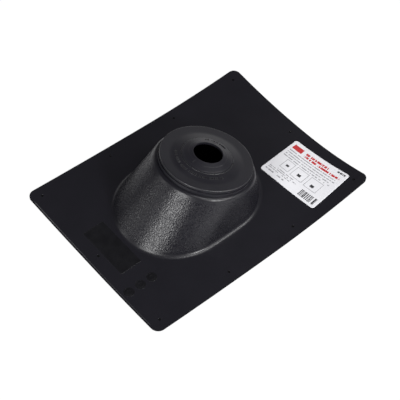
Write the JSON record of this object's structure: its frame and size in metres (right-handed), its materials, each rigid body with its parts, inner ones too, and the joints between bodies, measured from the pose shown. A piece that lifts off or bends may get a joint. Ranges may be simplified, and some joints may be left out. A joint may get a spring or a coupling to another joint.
{
  "type": "pipe flashing boot",
  "caption": "Roof flashing with a flat plate, a hollow oval dome and a tilted elastomer collar that seals round a plumb vent pipe.",
  "frame": {"origin": "centre of the plate, at the underside of its flat middle", "axes": "+X up the roof slope along the plate's length, +Y across it to the left of someone who looks up the slope, +Z square to the roof"},
  "size_m": [0.4, 0.2924, 0.0848],
  "materials": {
    "base_plastic": "satin, finely grained black thermoplastic",
    "collar_rubber": "smooth satin black elastomer",
    "label_paper": "printed self-adhesive film"
  },
  "bodies": {
    "root": {"base_flashing": "base_plastic", "collar": "collar_rubber", "label": "label_paper"}
  },
  "joints": []
}
